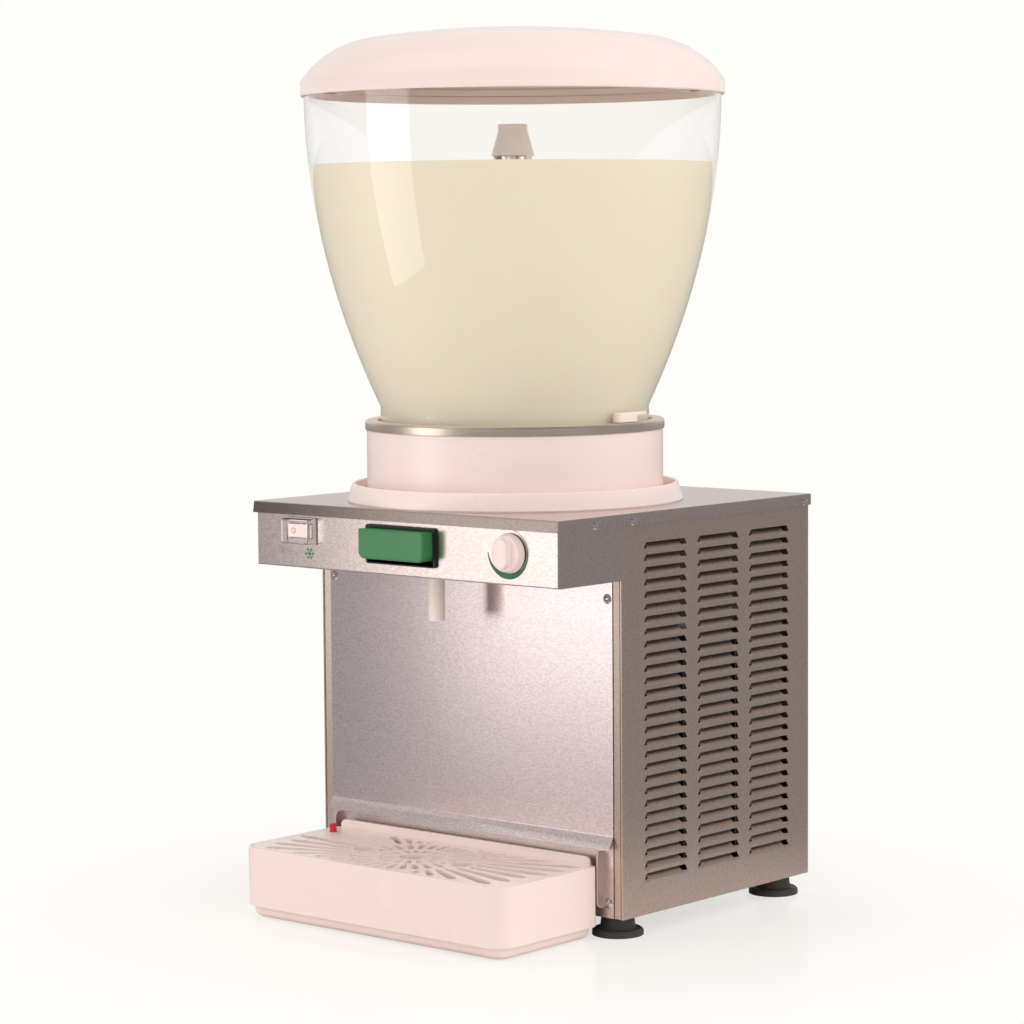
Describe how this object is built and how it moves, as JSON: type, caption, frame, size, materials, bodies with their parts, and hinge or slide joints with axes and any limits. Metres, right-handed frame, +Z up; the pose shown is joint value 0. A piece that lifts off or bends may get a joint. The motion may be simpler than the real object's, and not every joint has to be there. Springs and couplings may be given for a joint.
{
  "type": "cold drink dispenser",
  "caption": "Countertop cold drink dispenser: steel cabinet with louvred sides, clear tulip bowl with domed lid and stirrer, push-handle spout and removable drip tray.",
  "frame": {"origin": "on the table, under the middle of the whole outline", "axes": "+X to the user's right, +Y to the back, +Z up; the controls face -Y"},
  "size_m": [0.3504, 0.3766, 0.731],
  "materials": {
    "brushed_steel": "satin, fine grain",
    "zinc_steel": "plain sheet",
    "bright_steel": "bright",
    "white_plastic": "semi-gloss moulded",
    "clear_plastic": "clear, polished",
    "black_plastic": "satin",
    "green_plastic": "semi-gloss moulded",
    "grey_plastic": "satin",
    "red_plastic": "semi-gloss moulded",
    "silicone": "milky, soft",
    "dark_rubber": "matte",
    "copper": "bare copper",
    "fin_aluminium": "plain",
    "black_enamel": "gloss enamel",
    "motor_grey": "satin paint",
    "foam": "rigid foam"
  },
  "bodies": {
    "cabinet": {"top_plate": "brushed_steel", "control_head": "brushed_steel", "left_side_panel": "brushed_steel", "right_side_panel": "brushed_steel", "rear_panel": "brushed_steel", "splash_panel": "brushed_steel", "lower_front_panel": "brushed_steel", "evaporator_cup": "brushed_steel", "standpipe": "brushed_steel", "floor_pan": "zinc_steel", "mixer_bracket": "zinc_steel", "lever_bracket": "zinc_steel", "fan_shroud": "zinc_steel", "return_spring": "zinc_steel", "lip_screws": "bright_steel", "panel_screws": "bright_steel", "lever_pin": "bright_steel", "catch_pins": "bright_steel", "collar": "white_plastic", "switch_cover": "clear_plastic", "handle_bezel": "black_plastic", "power_inlet": "black_plastic", "thermostat": "black_plastic", "shaft_bushes": "black_plastic", "valve_anvil": "grey_plastic", "terminal_block": "grey_plastic", "outlet_nipple": "grey_plastic", "switch_body": "grey_plastic", "spout_tube": "silicone", "feet": "dark_rubber", "compressor_grommets": "dark_rubber", "bowl_gasket": "dark_rubber", "evaporator_coil": "copper", "condenser_tube": "copper", "discharge_pipe": "copper", "liquid_pipe": "copper", "capillary_pipe": "copper", "suction_pipe": "copper", "filter_drier": "copper", "condenser_fins": "fin_aluminium", "compressor": "black_enamel", "mixer_motor": "motor_grey", "fan_motor": "motor_grey", "collar_insulation": "foam"},
    "bowl": {"bowl": "clear_plastic", "bowl_neck": "clear_plastic"},
    "lid": {"lid": "white_plastic"},
    "stirrer": {"stirrer": "white_plastic", "drive_shaft": "bright_steel"},
    "fan": {"fan_blades": "grey_plastic"},
    "handle": {"handle": "green_plastic", "dispense_lever": "grey_plastic"},
    "rocker": {"rocker": "white_plastic"},
    "knob": {"knob": "white_plastic", "thermostat_shaft": "bright_steel"},
    "tray": {"drip_tray": "white_plastic"},
    "grille": {"tray_grille": "white_plastic"},
    "float": {"float_indicator": "red_plastic"},
    "left_catch": {"left_catch": "white_plastic"},
    "right_catch": {"right_catch": "white_plastic"}
  },
  "joints": [
    {"name": "bowl_lift", "type": "slide", "parent": "cabinet", "child": "bowl", "axis": [0, 0, 1], "range_m": [0, 0.3]},
    {"name": "lid_lift", "type": "slide", "parent": "bowl", "child": "lid", "axis": [0, 0, 1], "range_m": [0, 0.15]},
    {"name": "stirrer_spin", "type": "hinge", "parent": "cabinet", "child": "stirrer", "pos_m": [0, -0.0017, 0.3417], "axis": [0, 0, 1], "continuous": true},
    {"name": "fan_spin", "type": "hinge", "parent": "cabinet", "child": "fan", "pos_m": [0.09175, 0.0738, 0.128], "axis": [1, 0, 0], "continuous": true},
    {"name": "handle_press", "type": "hinge", "parent": "cabinet", "child": "handle", "pos_m": [0, -0.1157, 0.3312], "axis": [1, 0, 0], "range_deg": [0, 6], "stiffness_Nm_per_rad": 2, "springref_deg": -11.46, "deforming": ["return_spring"]},
    {"name": "rocker_tilt", "type": "hinge", "parent": "cabinet", "child": "rocker", "pos_m": [-0.1119, -0.1417, 0.3193], "axis": [0, 0, 1], "range_deg": [-8, 8]},
    {"name": "knob_turn", "type": "hinge", "parent": "cabinet", "child": "knob", "pos_m": [0.1151, -0.1417, 0.3139], "axis": [0, -1, 0], "range_deg": [0, 270]},
    {"name": "tray_slide", "type": "slide", "parent": "cabinet", "child": "tray", "axis": [0, -1, 0], "range_m": [0, 0.13]},
    {"name": "grille_lift", "type": "slide", "parent": "tray", "child": "grille", "axis": [0, 0, 1], "range_m": [0, 0.05]},
    {"name": "float_rise", "type": "slide", "parent": "tray", "child": "float", "axis": [0, 0, 1], "range_m": [0, 0.008]},
    {"name": "left_catch_swing", "type": "hinge", "parent": "cabinet", "child": "left_catch", "pos_m": [-0.11711, -0.00989, 0.4131], "axis": [0, 0, 1], "range_deg": [0, 90]},
    {"name": "right_catch_swing", "type": "hinge", "parent": "cabinet", "child": "right_catch", "pos_m": [0.11711, -0.00989, 0.4131], "axis": [0, 0, -1], "range_deg": [0, 90]}
  ]
}
